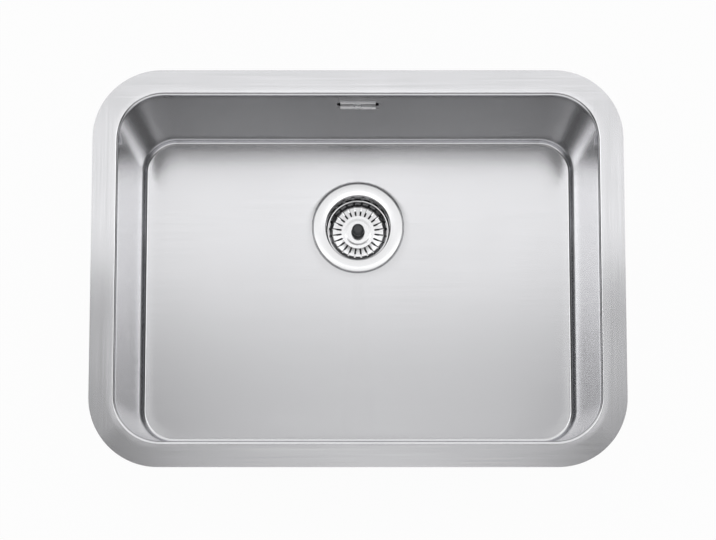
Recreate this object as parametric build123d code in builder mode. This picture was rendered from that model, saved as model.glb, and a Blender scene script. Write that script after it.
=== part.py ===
from build123d import *
import os
from math import cos, pi, radians, sin, tan

os.makedirs("parts", exist_ok=True)

# Frame: the origin is the middle of the bowl opening, in the flange's top plane.
# +Z is up, +X is along the bowl and +Y is towards the rear wall with the overflow.

# ---------------------------------------------------------------- bowl sizes
sheet = 1.0
flange_land = 29.0
flange_corner = 78.0
opening_length = 542.0
opening_width = 392.0
opening_corner = 51.0
bowl_depth = 200.0
wall_draft = 3.5
rim_bend = 3.6
floor_bend = 5.2
floor_fall = 0.009
waste_setback = 118.0
recess_radius = 56.5
recess_depth = 2.4
waste_hole_radius = 45.0

# ------------------------------------------------------- strainer dish sizes
dish_flange_radius = 55.0
dish_flange_sink = 0.6
dish_mouth_radius = 39.0
dish_mouth_bend = 1.4
dish_mouth_turn = 0.5
dish_wall_radius = 38.6
dish_depth = 38.0
dish_bend = 6.0
seat_inner_radius = 21.8
outlet_plate_radius = 20.5
outlet_plate_drop = 4.0
outlet_hole_radius = 4.0
outlet_hole_circle = 15.9
outlet_hole_count = 6
dimple_radius = 10.2
dimple_depth = 9.0
dimple_flare = 0.6

# ------------------------------------------------------------- basket sizes
cup_sheet = 0.8
cup_disc_radius = 19.5
cup_disc_rise = 1.2
cup_floor_radius = 28.5
cup_wall_radius = 33.5
cup_shoulder = 4.0
cup_rim_radius = 35.6
cup_lip = 1.6
cup_height = 13.0
slot_count = 24
slot_width = 2.0
slot_inner_radius = 22.0
slot_height = 8.0
knob_height = 21.0
knob_foot_radius = 5.4
knob_foot_height = 1.4
knob_waist_radius = 4.4
knob_head_radius = 7.7
knob_head_height = 5.5
knob_crown_bend = 2.6
knob_bore_depth = 14.0
stem_radius = 2.4
seal_radius = 26.5
seal_thickness = 3.0
seal_washer_radius = 13.0
seal_washer_thickness = 1.0
stem_nut_flats = 8.0
stem_nut_height = 2.4
clip_radius = 4.8
clip_sleeve_radius = 4.2
clip_length = 7.0
clip_catch_top = 2.1
clip_catch_bottom = 3.9
clip_tip_radius = 3.6
clip_slit_width = 1.0
clip_slit_height = 5.0

# --------------------------------------------- clamp screw, seals, waste body
screw_head_radius = 8.5
screw_head_height = 10.0
screw_cup_radius = 5.2
screw_cup_depth = 8.6
screw_shank_radius = 3.0
screw_shank_length = 21.0
screw_slot_width = 2.5
screw_slot_depth = 2.5
insert_flats = 10.0
insert_length = 14.0
insert_cover = 3.0
flange_seal_inner = 46.5
flange_seal_outer = 54.0
body_seal_thickness = 3.0
body_seal_inner = 46.0
body_seal_outer = 52.0
body_flange_radius = 53.0
body_flange_thickness = 3.5
body_bore_radius = 45.0
body_wall = 3.0
body_cup_depth = 60.0
body_cone_height = 16.0
outlet_bore_radius = 20.0
outlet_radius = 23.9
outlet_neck = 1.0
outlet_length = 34.0
outlet_thread_length = 16.0
boss_radius = 9.5
boss_length = 22.0
boss_rib_count = 4
boss_rib_thickness = 3.0
boss_rib_height = 12.0
boss_rib_root = 1.0
gusset_count = 8
gusset_thickness = 2.0
gusset_height = 14.0
gusset_inset = 0.5

# ------------------------------------------------------------ overflow sizes
overflow_level = 37.0
overflow_length = 46.0
overflow_height = 13.0
overflow_corner = 4.0
cover_length = 40.5
cover_height = 18.0
cover_stand = 2.7
cover_sheet = 1.0
cover_bend = 1.3
lip_length = 48.5
lip_reach = 2.9
cover_dish_radius = 6.0
cover_dish_floor = 4.4
cover_dish_drop = 3.0
cover_dish_skin = 0.7
overflow_screw_radius = 2.0
overflow_screw_head = 3.8
overflow_screw_head_height = 2.2
overflow_screw_length = 14.0
gasket_thickness = 2.5
gasket_border = 6.0
head_flange_thickness = 3.0
head_wall = 2.2
head_depth = 25.5
head_rise = 8.5
head_drop = 14.0
head_boss_radius = 5.0
overflow_insert_flats = 6.0
overflow_insert_length = 9.0

# --------------------------------------------------------- hose and its ends
hose_bore_radius = 8.0
hose_cuff_radius = 9.3
hose_valley_radius = 9.6
hose_crest_radius = 12.0
hose_rib_pitch = 8.6
hose_rib_lead = 10.0
rib_crest_start = 0.25
rib_crest_end = 0.6
rib_valley_start = 0.85
cuff_spare = 1.5
cuff_step = 1.0
hose_bend_radius = 52.0
hose_stand = 15.5
inlet_depth = 48.0
spigot_radius = 11.6
spigot_length = 16.0
spigot_socket = 10.0
nut_flats = 26.6
nut_length = 15.0
nut_lip = 2.2
washer_length = 4.5
washer_nose_radius = 10.4

# ----------------------------------------------------------------- pad sizes
pad_length = 360.0
pad_width = 130.0
pad_thickness = 2.5
pad_corner = 15.0
pad_setback = 108.0

# ---------------------------------------------------------------- clearances
running_gap = 0.3
fit_gap = 0.1
seat_gap = 0.1

# ------------------------------------------------------------- worked levels
flange_length = opening_length + 2 * flange_land
flange_width = opening_width + 2 * flange_land
draft_run = tan(radians(wall_draft))
mould_depth = bowl_depth + 30.0
waste_y = opening_width / 2 - waste_setback
pad_y = pad_setback - opening_width / 2
floor_level = -bowl_depth
recess_level = floor_level - recess_depth
recess_underside = recess_level - sheet
flange_level = floor_level - dish_flange_sink
flange_underside = flange_level - sheet
seat_level = floor_level - dish_depth
plate_level = seat_level - outlet_plate_drop
dimple_level = plate_level - dimple_depth
cup_underside = seat_level + running_gap + seal_thickness
cup_level = cup_underside + cup_sheet
disc_level = cup_level + cup_disc_rise
cup_rim_level = cup_level + cup_height
seal_underside = seat_level + running_gap
stem_nut_level = seal_underside - seal_washer_thickness
clip_level = stem_nut_level - stem_nut_height
screw_head_top = dimple_level + screw_head_height
boss_level = dimple_level - sheet - seat_gap
insert_level = boss_level - insert_cover
body_top = recess_underside - body_seal_thickness
body_floor = body_top - body_cup_depth
outlet_top = body_floor - body_cone_height
outlet_bottom = outlet_top - outlet_length
body_outer_radius = body_bore_radius + body_wall
wall_y = opening_width / 2 - draft_run * overflow_level
hose_top_y = wall_y + hose_stand
gasket_length = overflow_length + 2 * gasket_border
gasket_height = overflow_height + 2 * gasket_border
head_front = sheet + gasket_thickness
dish_front = cover_stand - cover_dish_drop
dish_back = dish_front - cover_sheet
boss_front = dish_back - seat_gap
socket_radius = hose_cuff_radius + fit_gap

# Section planes through the waste axis: their x is the radius and their y is the height.
waste_section = Plane.XZ.offset(-waste_y)
rear_section = Plane((0, waste_y, 0), x_dir=(0, 1, 0), z_dir=(1, 0, 0))
waste_axis = Axis((0, waste_y, 0), (0, 0, 1))

# Plane of the rear wall's inner face at the overflow: its x is along the wall, its y
# is up the wall and its z points into the bowl.
wall_plane = Plane(
    origin=(0, wall_y, -overflow_level),
    x_dir=(1, 0, 0),
    z_dir=(0, -cos(radians(wall_draft)), sin(radians(wall_draft))),
)
wall_axis = Axis(wall_plane.origin, wall_plane.z_dir)
# Section plane across the overflow: its x is out from the wall and its y is up the wall.
cover_section = Plane(origin=wall_plane.origin, x_dir=wall_plane.z_dir, z_dir=(-1, 0, 0))


def at_waste(level):
    """Horizontal plane at a level, centred on the waste."""
    return Plane((0, waste_y, level))


def finish(builder, label):
    """Name a finished piece and write it."""
    builder.part.label = label
    export_step(builder.part, f"parts/{label}.step")


# ----------------------------------------------------------------------- bowl
def bowl_form(grow):
    """Solid form of the bowl: its inside, or its outside when grown by the sheet."""
    floor = floor_level - grow
    apex = floor - floor_fall * recess_radius
    with BuildPart() as form:
        with BuildSketch(Plane.XY):
            RectangleRounded(opening_length + 2 * grow, opening_width + 2 * grow, opening_corner + grow)
        extrude(amount=-mould_depth, taper=wall_draft)
        with BuildSketch(rear_section):
            with BuildLine():
                Polyline(
                    (0, apex),
                    (flange_length, apex + floor_fall * flange_length),
                    (flange_length, -2 * mould_depth),
                    (0, -2 * mould_depth),
                    close=True,
                )
            make_face()
        revolve(axis=waste_axis, mode=Mode.SUBTRACT)
        floor_face = form.faces().filter_by(GeomType.CONE).sort_by(SortBy.AREA)[-1]
        foot_edges = floor_face.edges().filter_by(lambda edge: edge.length > sheet)
        fillet(foot_edges.filter_by(GeomType.LINE, reverse=True), radius=floor_bend + grow)
        with BuildSketch(at_waste(floor - recess_depth)):
            Circle(recess_radius + grow)
        extrude(amount=bowl_depth / 2)
    return form.part


def edges_within(edges, length, width, level):
    """Edges whose middle lies at a level, inside a rectangle centred on the origin."""
    found = edges.filter_by(lambda edge: abs(edge.center().Z - level) < 0.01)
    found = found.filter_by(lambda edge: abs(edge.center().X) < length / 2)
    return found.filter_by(lambda edge: abs(edge.center().Y) < width / 2)


bowl_outside = bowl_form(sheet)

with BuildPart() as bowl:
    with BuildSketch(Plane.XY):
        RectangleRounded(flange_length, flange_width, flange_corner)
    extrude(amount=-sheet)
    add(bowl_outside)
    reach = 4 * sheet
    underside_corner = edges_within(bowl.edges(), opening_length + reach, opening_width + reach, -sheet)
    fillet(underside_corner, rim_bend - sheet)
    add(bowl_form(0), mode=Mode.SUBTRACT)
    mouth_corner = edges_within(bowl.edges(), opening_length + sheet, opening_width + sheet, 0)
    fillet(mouth_corner, rim_bend)
    with BuildSketch(at_waste(recess_underside)):
        Circle(waste_hole_radius)
    extrude(amount=recess_depth, mode=Mode.SUBTRACT)
    with BuildSketch(wall_plane.offset(-2 * sheet)):
        RectangleRounded(overflow_length, overflow_height, overflow_corner)
    extrude(amount=3 * sheet, mode=Mode.SUBTRACT)
finish(bowl, "bowl")

# ------------------------------------------------------------------ sound pad
with BuildPart() as sound_pad:
    with BuildSketch(Plane((0, pad_y, floor_level - 4 * pad_thickness))):
        RectangleRounded(pad_length, pad_width, pad_corner)
    extrude(amount=8 * pad_thickness)
    add(bowl_outside.moved(Location((0, 0, -pad_thickness))), mode=Mode.INTERSECT)
    add(bowl_outside, mode=Mode.SUBTRACT)
finish(sound_pad, "sound_pad")

# --------------------------------------------------------------- strainer dish
with BuildPart() as strainer_dish:
    with BuildSketch(waste_section):
        with BuildLine():
            Polyline(
                (0, dimple_level),
                (dimple_radius, dimple_level),
                (dimple_radius + dimple_flare, plate_level),
                (outlet_plate_radius, plate_level),
                (seat_inner_radius, seat_level),
                (dish_wall_radius - dish_bend, seat_level),
                (dish_wall_radius, seat_level + dish_bend),
                (dish_mouth_radius, flange_level - dish_mouth_bend),
                (dish_mouth_radius + dish_mouth_turn, flange_level - dish_mouth_turn),
                (dish_mouth_radius + dish_mouth_bend, flange_level),
                (dish_flange_radius, flange_level),
            )
            offset(amount=sheet, side=Side.RIGHT, kind=Kind.INTERSECTION)
        make_face()
    revolve(axis=waste_axis)
    with BuildSketch(at_waste(dimple_level)):
        Circle(screw_shank_radius + running_gap)
    extrude(amount=-2 * sheet, mode=Mode.SUBTRACT)
    with BuildSketch(at_waste(plate_level)):
        with PolarLocations(outlet_hole_circle, outlet_hole_count):
            Circle(outlet_hole_radius)
    extrude(amount=-2 * sheet, mode=Mode.SUBTRACT)
finish(strainer_dish, "strainer_dish")

# --------------------------------------------------------------------- basket
stem_bore = stem_radius + fit_gap

with BuildPart() as basket_cup:
    with BuildSketch(waste_section):
        with BuildLine():
            Polyline(
                (0, disc_level),
                (cup_disc_radius, disc_level),
                (cup_disc_radius + cup_disc_rise, cup_level),
                (cup_floor_radius, cup_level),
                (cup_wall_radius, cup_level + cup_shoulder),
                (cup_rim_radius, cup_rim_level),
                (cup_rim_radius + cup_lip, cup_rim_level),
            )
            offset(amount=cup_sheet, side=Side.RIGHT, kind=Kind.INTERSECTION)
        make_face()
    revolve(axis=waste_axis)
    with BuildSketch(at_waste(cup_underside - cup_sheet)):
        slot_reach = cup_rim_radius + 4 * cup_sheet - slot_inner_radius
        with PolarLocations(slot_inner_radius + slot_reach / 2, slot_count, start_angle=180 / slot_count):
            Rectangle(slot_reach, slot_width)
    extrude(amount=2 * cup_sheet + slot_height, mode=Mode.SUBTRACT)
    with BuildSketch(at_waste(disc_level)):
        Circle(stem_bore)
    extrude(amount=-2 * cup_sheet, mode=Mode.SUBTRACT)
finish(basket_cup, "basket_cup")

with BuildPart() as basket_knob:
    with BuildSketch(waste_section):
        with BuildLine():
            foot_top = disc_level + knob_foot_height
            head_bottom = disc_level + knob_height - knob_head_height
            waist_level = (foot_top + head_bottom) / 2
            Polyline((0, disc_level), (knob_foot_radius, disc_level), (knob_foot_radius, foot_top))
            Line((knob_foot_radius, foot_top), (knob_waist_radius, waist_level))
            Polyline(
                (knob_waist_radius, waist_level),
                (knob_head_radius, head_bottom),
                (knob_head_radius, disc_level + knob_height - knob_crown_bend),
                (knob_head_radius - knob_crown_bend, disc_level + knob_height),
                (0, disc_level + knob_height),
                (0, disc_level),
            )
        make_face()
    revolve(axis=waste_axis)
    with BuildSketch(at_waste(disc_level)):
        Circle(stem_bore)
    extrude(amount=knob_bore_depth + seat_gap, mode=Mode.SUBTRACT)
finish(basket_knob, "basket_knob")

with BuildPart() as basket_stem:
    stem_length = disc_level + knob_bore_depth - clip_level + clip_length
    with BuildSketch(at_waste(clip_level - clip_length)):
        Circle(stem_radius)
    extrude(amount=stem_length)
finish(basket_stem, "basket_stem")

with BuildPart() as basket_seal:
    with BuildSketch(waste_section):
        with BuildLine():
            plateau_radius = cup_disc_radius - 2 * cup_sheet
            Polyline(
                (stem_bore, seal_underside),
                (seal_radius, seal_underside),
                (seal_radius, cup_underside - seal_thickness / 2),
                (seal_radius - seal_thickness / 2, cup_underside),
                (plateau_radius, cup_underside),
                (plateau_radius - cup_disc_rise, cup_underside + cup_disc_rise),
                (stem_bore, cup_underside + cup_disc_rise),
                close=True,
            )
        make_face()
    revolve(axis=waste_axis)
finish(basket_seal, "basket_seal")

with BuildPart() as seal_washer:
    with BuildSketch(at_waste(stem_nut_level)):
        Circle(seal_washer_radius)
        Circle(stem_bore, mode=Mode.SUBTRACT)
    extrude(amount=seal_washer_thickness)
finish(seal_washer, "seal_washer")

with BuildPart() as stem_nut:
    with BuildSketch(at_waste(clip_level)):
        RegularPolygon(stem_nut_flats / 2, 6, major_radius=False)
        Circle(stem_bore, mode=Mode.SUBTRACT)
    extrude(amount=stem_nut_height)
finish(stem_nut, "stem_nut")

with BuildPart() as catch_clip:
    with BuildSketch(waste_section):
        with BuildLine():
            clip_bottom = clip_level - clip_length
            Polyline(
                (stem_bore, clip_level),
                (clip_sleeve_radius, clip_level),
                (clip_sleeve_radius, clip_level - clip_catch_top),
                (clip_radius, clip_level - clip_catch_bottom),
                (clip_tip_radius, clip_bottom),
                (stem_bore, clip_bottom),
                close=True,
            )
        make_face()
    revolve(axis=waste_axis)
    with BuildSketch(at_waste(clip_bottom)):
        Rectangle(4 * clip_radius, clip_slit_width)
    extrude(amount=clip_slit_height, mode=Mode.SUBTRACT)
finish(catch_clip, "catch_clip")

# ------------------------------------------------- clamp screw and its insert
with BuildPart() as clamp_screw:
    with BuildSketch(at_waste(dimple_level)):
        Circle(screw_head_radius)
    extrude(amount=screw_head_height)
    with BuildSketch(at_waste(screw_head_top)):
        Circle(screw_cup_radius)
    extrude(amount=-screw_cup_depth, mode=Mode.SUBTRACT)
    with BuildSketch(at_waste(screw_head_top)):
        Rectangle(3 * screw_head_radius, screw_slot_width)
    extrude(amount=-screw_slot_depth, mode=Mode.SUBTRACT)
    with BuildSketch(at_waste(dimple_level)):
        Circle(screw_shank_radius)
    extrude(amount=-screw_shank_length)
finish(clamp_screw, "clamp_screw")

with BuildPart() as clamp_insert:
    with BuildSketch(at_waste(insert_level)):
        RegularPolygon(insert_flats / 2, 6, major_radius=False)
        Circle(screw_shank_radius + fit_gap, mode=Mode.SUBTRACT)
    extrude(amount=-insert_length)
finish(clamp_insert, "clamp_insert")

# ------------------------------------------------------------ seals and body
with BuildPart() as flange_seal:
    with BuildSketch(at_waste(recess_level)):
        Circle(flange_seal_outer)
        Circle(flange_seal_inner, mode=Mode.SUBTRACT)
    extrude(amount=flange_underside - recess_level)
finish(flange_seal, "flange_seal")

with BuildPart() as body_seal:
    with BuildSketch(at_waste(body_top)):
        Circle(body_seal_outer)
        Circle(body_seal_inner, mode=Mode.SUBTRACT)
    extrude(amount=body_seal_thickness)
finish(body_seal, "body_seal")

inlet_level = floor_level - inlet_depth
spigot_face = waste_y + body_outer_radius + spigot_length

with BuildPart() as waste_body:
    with BuildSketch(waste_section):
        with BuildLine():
            neck_radius = outlet_radius - outlet_neck
            thread_top = outlet_bottom + outlet_thread_length
            Polyline(
                (0, body_top),
                (body_flange_radius, body_top),
                (body_flange_radius, body_top - body_flange_thickness),
                (body_outer_radius, body_top - body_flange_thickness),
                (body_outer_radius, body_floor),
                (neck_radius, outlet_top),
                (neck_radius, thread_top),
                (outlet_radius, thread_top),
                (outlet_radius, outlet_bottom),
                (0, outlet_bottom),
                close=True,
            )
        make_face()
    revolve(axis=waste_axis)
    gusset_top = body_top - body_flange_thickness / 2
    with BuildSketch(at_waste(gusset_top)):
        with PolarLocations(body_outer_radius, gusset_count, start_angle=180 / gusset_count):
            Rectangle(2 * (body_flange_radius - body_outer_radius - gusset_inset), gusset_thickness)
    extrude(amount=-gusset_height)
    with BuildSketch(Plane((0, spigot_face, inlet_level), x_dir=(1, 0, 0), z_dir=(0, 1, 0))):
        Circle(spigot_radius)
    extrude(amount=-(spigot_length + body_wall))
    with BuildSketch(waste_section):
        with BuildLine():
            Polyline(
                (0, body_top),
                (body_bore_radius, body_top),
                (body_bore_radius, body_floor),
                (outlet_bore_radius, outlet_top),
                (outlet_bore_radius, outlet_bottom),
                (0, outlet_bottom),
                close=True,
            )
        make_face()
    revolve(axis=waste_axis, mode=Mode.SUBTRACT)
    with BuildSketch(Plane((0, spigot_face, inlet_level), x_dir=(1, 0, 0), z_dir=(0, 1, 0))):
        Circle(hose_bore_radius)
    extrude(amount=-(spigot_length + 2 * body_wall), mode=Mode.SUBTRACT)
    with BuildSketch(Plane((0, spigot_face, inlet_level), x_dir=(1, 0, 0), z_dir=(0, 1, 0))):
        Circle(socket_radius)
    extrude(amount=-spigot_socket, mode=Mode.SUBTRACT)
    boss_rib_circle = (boss_radius + body_bore_radius) / 2
    with BuildSketch(at_waste(body_floor)):
        with PolarLocations(boss_rib_circle, boss_rib_count, start_angle=180 / boss_rib_count):
            Rectangle(body_bore_radius - boss_radius + 2 * boss_rib_root, boss_rib_thickness)
    extrude(amount=boss_rib_height)
    with BuildSketch(at_waste(boss_level)):
        Circle(boss_radius)
    extrude(amount=-boss_length)
    with BuildSketch(at_waste(boss_level)):
        Circle(screw_shank_radius + running_gap)
    extrude(amount=-boss_length, mode=Mode.SUBTRACT)
    with BuildSketch(at_waste(insert_level)):
        RegularPolygon(insert_flats / 2 + fit_gap, 6, major_radius=False)
    extrude(amount=-boss_length, mode=Mode.SUBTRACT)
finish(waste_body, "waste_body")

# ------------------------------------------------------------------- overflow
with BuildPart() as overflow_cover:
    with BuildSketch(cover_section):
        with BuildLine():
            FilletPolyline(
                (0, cover_height / 2),
                (cover_stand, cover_height / 2),
                (cover_stand, -cover_height / 2),
                (cover_stand + lip_reach, -cover_height / 2),
                radius=[cover_bend, cover_bend],
            )
            offset(amount=cover_sheet, side=Side.RIGHT)
        make_face()
    extrude(amount=cover_length / 2, both=True)
    with BuildSketch(cover_section):
        with Locations((cover_stand + lip_reach / 2, -(cover_height + cover_sheet) / 2)):
            Rectangle(lip_reach, cover_sheet)
    extrude(amount=lip_length / 2, both=True)
    with BuildSketch(cover_section):
        with BuildLine():
            Polyline(
                (dish_back, 0),
                (dish_back, cover_dish_floor + cover_dish_skin),
                (cover_stand - cover_sheet, cover_dish_radius + cover_dish_skin),
                (cover_stand - cover_sheet / 2, cover_dish_radius + cover_dish_skin),
                (cover_stand - cover_sheet / 2, 0),
                close=True,
            )
        make_face()
    revolve(axis=wall_axis)
    with BuildSketch(cover_section):
        with BuildLine():
            Polyline(
                (dish_front, 0),
                (dish_front, cover_dish_floor),
                (cover_stand, cover_dish_radius),
                (cover_stand + cover_sheet, cover_dish_radius),
                (cover_stand + cover_sheet, 0),
                close=True,
            )
        make_face()
    revolve(axis=wall_axis, mode=Mode.SUBTRACT)
    with BuildSketch(wall_plane.offset(dish_back)):
        Circle(overflow_screw_radius + running_gap)
    extrude(amount=2 * cover_sheet, mode=Mode.SUBTRACT)
finish(overflow_cover, "overflow_cover")

with BuildPart() as overflow_screw:
    with BuildSketch(wall_plane.offset(dish_front)):
        Circle(overflow_screw_head)
    extrude(amount=overflow_screw_head_height)
    with BuildSketch(wall_plane.offset(dish_front)):
        Circle(overflow_screw_radius)
    extrude(amount=-overflow_screw_length)
finish(overflow_screw, "overflow_screw")

with BuildPart() as overflow_gasket:
    with BuildSketch(wall_plane.offset(-sheet)):
        RectangleRounded(gasket_length, gasket_height, overflow_corner + gasket_border)
        RectangleRounded(overflow_length, overflow_height, overflow_corner, mode=Mode.SUBTRACT)
    extrude(amount=-gasket_thickness)
finish(overflow_gasket, "overflow_gasket")

box_length = overflow_length + 2 * head_wall
box_height = head_rise + head_drop
box_middle = (head_rise - head_drop) / 2
head_back = head_front + head_depth
spigot_bottom = -overflow_level - head_drop - spigot_length

with BuildPart() as overflow_head:
    with BuildSketch(wall_plane.offset(-head_front)):
        RectangleRounded(gasket_length, gasket_height, overflow_corner + gasket_border)
    extrude(amount=-head_flange_thickness)
    with BuildSketch(wall_plane.offset(-head_front)):
        with Locations((0, box_middle)):
            RectangleRounded(box_length, box_height, overflow_corner)
    extrude(amount=-head_depth)
    with BuildSketch(Plane((0, hose_top_y, spigot_bottom))):
        Circle(spigot_radius)
    extrude(amount=spigot_length + head_wall)
    with BuildSketch(wall_plane.offset(-head_front - head_wall)):
        with Locations((0, box_middle)):
            RectangleRounded(overflow_length, box_height - 2 * head_wall, overflow_corner - head_wall)
    extrude(amount=-(head_depth - 2 * head_wall), mode=Mode.SUBTRACT)
    with BuildSketch(wall_plane.offset(-head_front)):
        RectangleRounded(overflow_length, overflow_height, overflow_corner)
    extrude(amount=-2 * head_wall, mode=Mode.SUBTRACT)
    with BuildSketch(Plane((0, hose_top_y, spigot_bottom))):
        Circle(hose_bore_radius)
    extrude(amount=spigot_length + head_drop, mode=Mode.SUBTRACT)
    with BuildSketch(Plane((0, hose_top_y, spigot_bottom))):
        Circle(socket_radius)
    extrude(amount=spigot_socket, mode=Mode.SUBTRACT)
    with BuildSketch(wall_plane.offset(boss_front)):
        Circle(head_boss_radius)
    extrude(amount=-(head_back + boss_front - head_wall / 2))
    with BuildSketch(wall_plane.offset(boss_front)):
        RegularPolygon(overflow_insert_flats / 2 + fit_gap, 6, major_radius=False)
    extrude(amount=-overflow_screw_length, mode=Mode.SUBTRACT)
finish(overflow_head, "overflow_head")

with BuildPart() as overflow_insert:
    with BuildSketch(wall_plane.offset(boss_front)):
        RegularPolygon(overflow_insert_flats / 2, 6, major_radius=False)
        Circle(overflow_screw_radius + fit_gap, mode=Mode.SUBTRACT)
    extrude(amount=-overflow_insert_length)
finish(overflow_insert, "overflow_insert")

# -------------------------------------------------------------- overflow hose
# The hose drops from the head as a smooth pipe, then turns a quarter circle in its
# corrugated stretch and runs forward to the body.
hose_start = spigot_bottom + spigot_socket
hose_drop = hose_start - inlet_level - hose_bend_radius
hose_arc = hose_bend_radius * pi / 2
hose_run = hose_top_y - hose_bend_radius - (spigot_face - spigot_socket)
hose_length = hose_drop + hose_arc + hose_run
arc_y = hose_top_y - hose_bend_radius
arc_z = inlet_level + hose_bend_radius


def hose_plane(along):
    """Plane square across the hose at a distance along it, with its X axis steady."""
    if along < hose_drop:
        place = (0, hose_top_y, hose_start - along)
        turn = 0
    elif along < hose_drop + hose_arc:
        turn = (along - hose_drop) / hose_bend_radius
        place = (0, arc_y + hose_bend_radius * cos(turn), arc_z - hose_bend_radius * sin(turn))
    else:
        turn = pi / 2
        place = (0, arc_y - (along - hose_drop - hose_arc), inlet_level)
    return Plane(place, x_dir=(1, 0, 0), z_dir=(0, -sin(turn), -cos(turn)))


cuff_length = spigot_socket + washer_length + nut_lip + cuff_spare
ribs_start = hose_drop - hose_rib_lead
ribs_length = hose_length - cuff_length - ribs_start
rib_count = int(ribs_length / hose_rib_pitch)
rib_pitch = ribs_length / rib_count

with BuildPart() as overflow_hose:
    with BuildSketch(hose_plane(0)):
        Circle(hose_cuff_radius)
    with BuildSketch(hose_plane(ribs_start - cuff_step)):
        Circle(hose_cuff_radius)
    for rib in range(rib_count):
        for share, radius in (
            (0.0, hose_valley_radius),
            (rib_crest_start, hose_crest_radius),
            (rib_crest_end, hose_crest_radius),
            (rib_valley_start, hose_valley_radius),
        ):
            with BuildSketch(hose_plane(ribs_start + (rib + share) * rib_pitch)):
                Circle(radius)
    with BuildSketch(hose_plane(hose_length - cuff_length)):
        Circle(hose_cuff_radius)
    with BuildSketch(hose_plane(hose_length)):
        Circle(hose_cuff_radius)
    loft(ruled=True)
    with BuildLine():
        bend_middle = hose_plane(hose_drop + hose_arc / 2).origin
        Line(hose_plane(0).origin, (0, hose_top_y, arc_z))
        ThreePointArc((0, hose_top_y, arc_z), bend_middle, (0, arc_y, inlet_level))
        Line((0, arc_y, inlet_level), hose_plane(hose_length).origin)
    with BuildSketch(hose_plane(0)):
        Circle(hose_bore_radius)
    sweep(mode=Mode.SUBTRACT)
finish(overflow_hose, "overflow_hose")
rib_gap = round((1 - rib_valley_start) * rib_pitch, 2)
print("overflow hose: bend radius", hose_bend_radius, "ribs", rib_count, "rib gap", rib_gap)

# ------------------------------------------------------- hose nuts and washers
hose_ends = (
    Plane((0, hose_top_y, spigot_bottom), x_dir=(1, 0, 0), z_dir=(0, 0, -1)),
    Plane((0, spigot_face, inlet_level), x_dir=(1, 0, 0), z_dir=(0, 1, 0)),
)
nut_reach = washer_length + nut_lip

with BuildPart() as hose_nuts:
    for end in hose_ends:
        with BuildSketch(end.offset(nut_reach - nut_length)):
            RegularPolygon(nut_flats / 2, 6, major_radius=False, rotation=30)
        extrude(amount=nut_length)
        with BuildSketch(end.offset(washer_length)):
            Circle(spigot_radius + 2 * fit_gap)
        extrude(amount=-nut_length, mode=Mode.SUBTRACT)
        with BuildSketch(end):
            Circle(hose_cuff_radius + running_gap)
        extrude(amount=nut_length, mode=Mode.SUBTRACT)
finish(hose_nuts, "hose_nuts")

with BuildPart() as hose_washers:
    for end in hose_ends:
        section = Plane(end.origin, x_dir=end.x_dir, z_dir=end.y_dir)
        with BuildSketch(section):
            with BuildLine():
                Polyline(
                    (socket_radius, 0),
                    (spigot_radius, 0),
                    (washer_nose_radius, -washer_length),
                    (socket_radius, -washer_length),
                    close=True,
                )
            make_face()
        revolve(axis=Axis(end.origin, end.z_dir))
finish(hose_washers, "hose_washers")
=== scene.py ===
import logging
import math
from dataclasses import dataclass
from enum import Enum

import bmesh
import bpy
from mathutils import Matrix, Vector


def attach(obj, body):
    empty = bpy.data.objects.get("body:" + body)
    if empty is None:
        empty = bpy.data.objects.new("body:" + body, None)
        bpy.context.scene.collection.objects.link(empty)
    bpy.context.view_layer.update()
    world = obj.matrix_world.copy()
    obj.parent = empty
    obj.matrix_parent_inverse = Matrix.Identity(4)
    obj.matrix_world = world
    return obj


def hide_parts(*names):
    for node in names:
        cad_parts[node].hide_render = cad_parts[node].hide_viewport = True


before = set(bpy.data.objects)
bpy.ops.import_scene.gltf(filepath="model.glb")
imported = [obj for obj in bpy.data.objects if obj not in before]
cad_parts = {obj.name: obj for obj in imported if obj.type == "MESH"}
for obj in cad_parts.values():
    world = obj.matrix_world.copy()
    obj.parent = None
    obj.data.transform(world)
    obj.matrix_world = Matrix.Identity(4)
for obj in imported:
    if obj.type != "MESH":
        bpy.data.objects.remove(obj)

log = logging.getLogger("sink")

MM = 0.001
WASTE = Vector((0.0, 78.0 * MM, 0.0))
Point = tuple[float, float]
Span = tuple[float, float]
Profile = tuple[tuple[float, float, float], ...]
Socket = bpy.types.NodeSocket


class Body(Enum):
    """The two rigid bodies of the part."""

    SINK = "sink"
    BASKET = "basket"


# ------------------------------------------------------------ geometry trees
@dataclass(frozen=True)
class Field:
    """A value that a geometry tree works out for each point, open to plain sums."""

    tree: "GeometryTree"
    socket: Socket

    def __add__(self, other: "Field | float") -> "Field":
        """Sum with another value."""
        return self.tree.math("ADD", self, other)

    def __sub__(self, other: "Field | float") -> "Field":
        """Difference from another value."""
        return self.tree.math("SUBTRACT", self, other)

    def __rsub__(self, other: float) -> "Field":
        """Difference from a plain number on the left."""
        return self.tree.math("SUBTRACT", other, self)

    def __mul__(self, other: "Field | float") -> "Field":
        """Product with another value."""
        return self.tree.math("MULTIPLY", self, other)

    def __truediv__(self, other: "Field | float") -> "Field":
        """Quotient by another value."""
        return self.tree.math("DIVIDE", self, other)

    def __neg__(self) -> "Field":
        """The value with its sign turned."""
        return self.tree.math("MULTIPLY", self, -1.0)


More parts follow.
